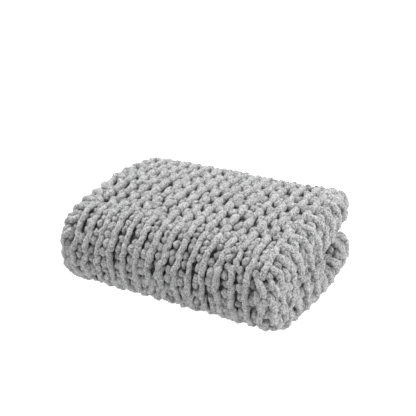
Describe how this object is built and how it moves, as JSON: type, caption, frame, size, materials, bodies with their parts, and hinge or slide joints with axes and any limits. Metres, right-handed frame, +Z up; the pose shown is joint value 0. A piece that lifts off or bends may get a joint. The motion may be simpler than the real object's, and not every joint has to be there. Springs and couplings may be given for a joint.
{
  "type": "folded chunky knit blanket",
  "caption": "Chunky knit throw of plush grey yarn, folded into a thick soft bundle with a full round front and lobed ends, to lie on a bed, sofa or shelf.",
  "frame": {"origin": "under the middle of the folded bundle, on the surface it rests on", "axes": "+X along the length of the bundle, -Y towards the round front fold, +Y towards the open back, +Z up"},
  "size_m": [0.4504, 0.3295, 0.1665],
  "materials": {
    "grey_chenille": "matt plush chenille yarn, knitted in thick ropes"
  },
  "bodies": {
    "root": {"folded_blanket": "grey_chenille"}
  },
  "joints": []
}
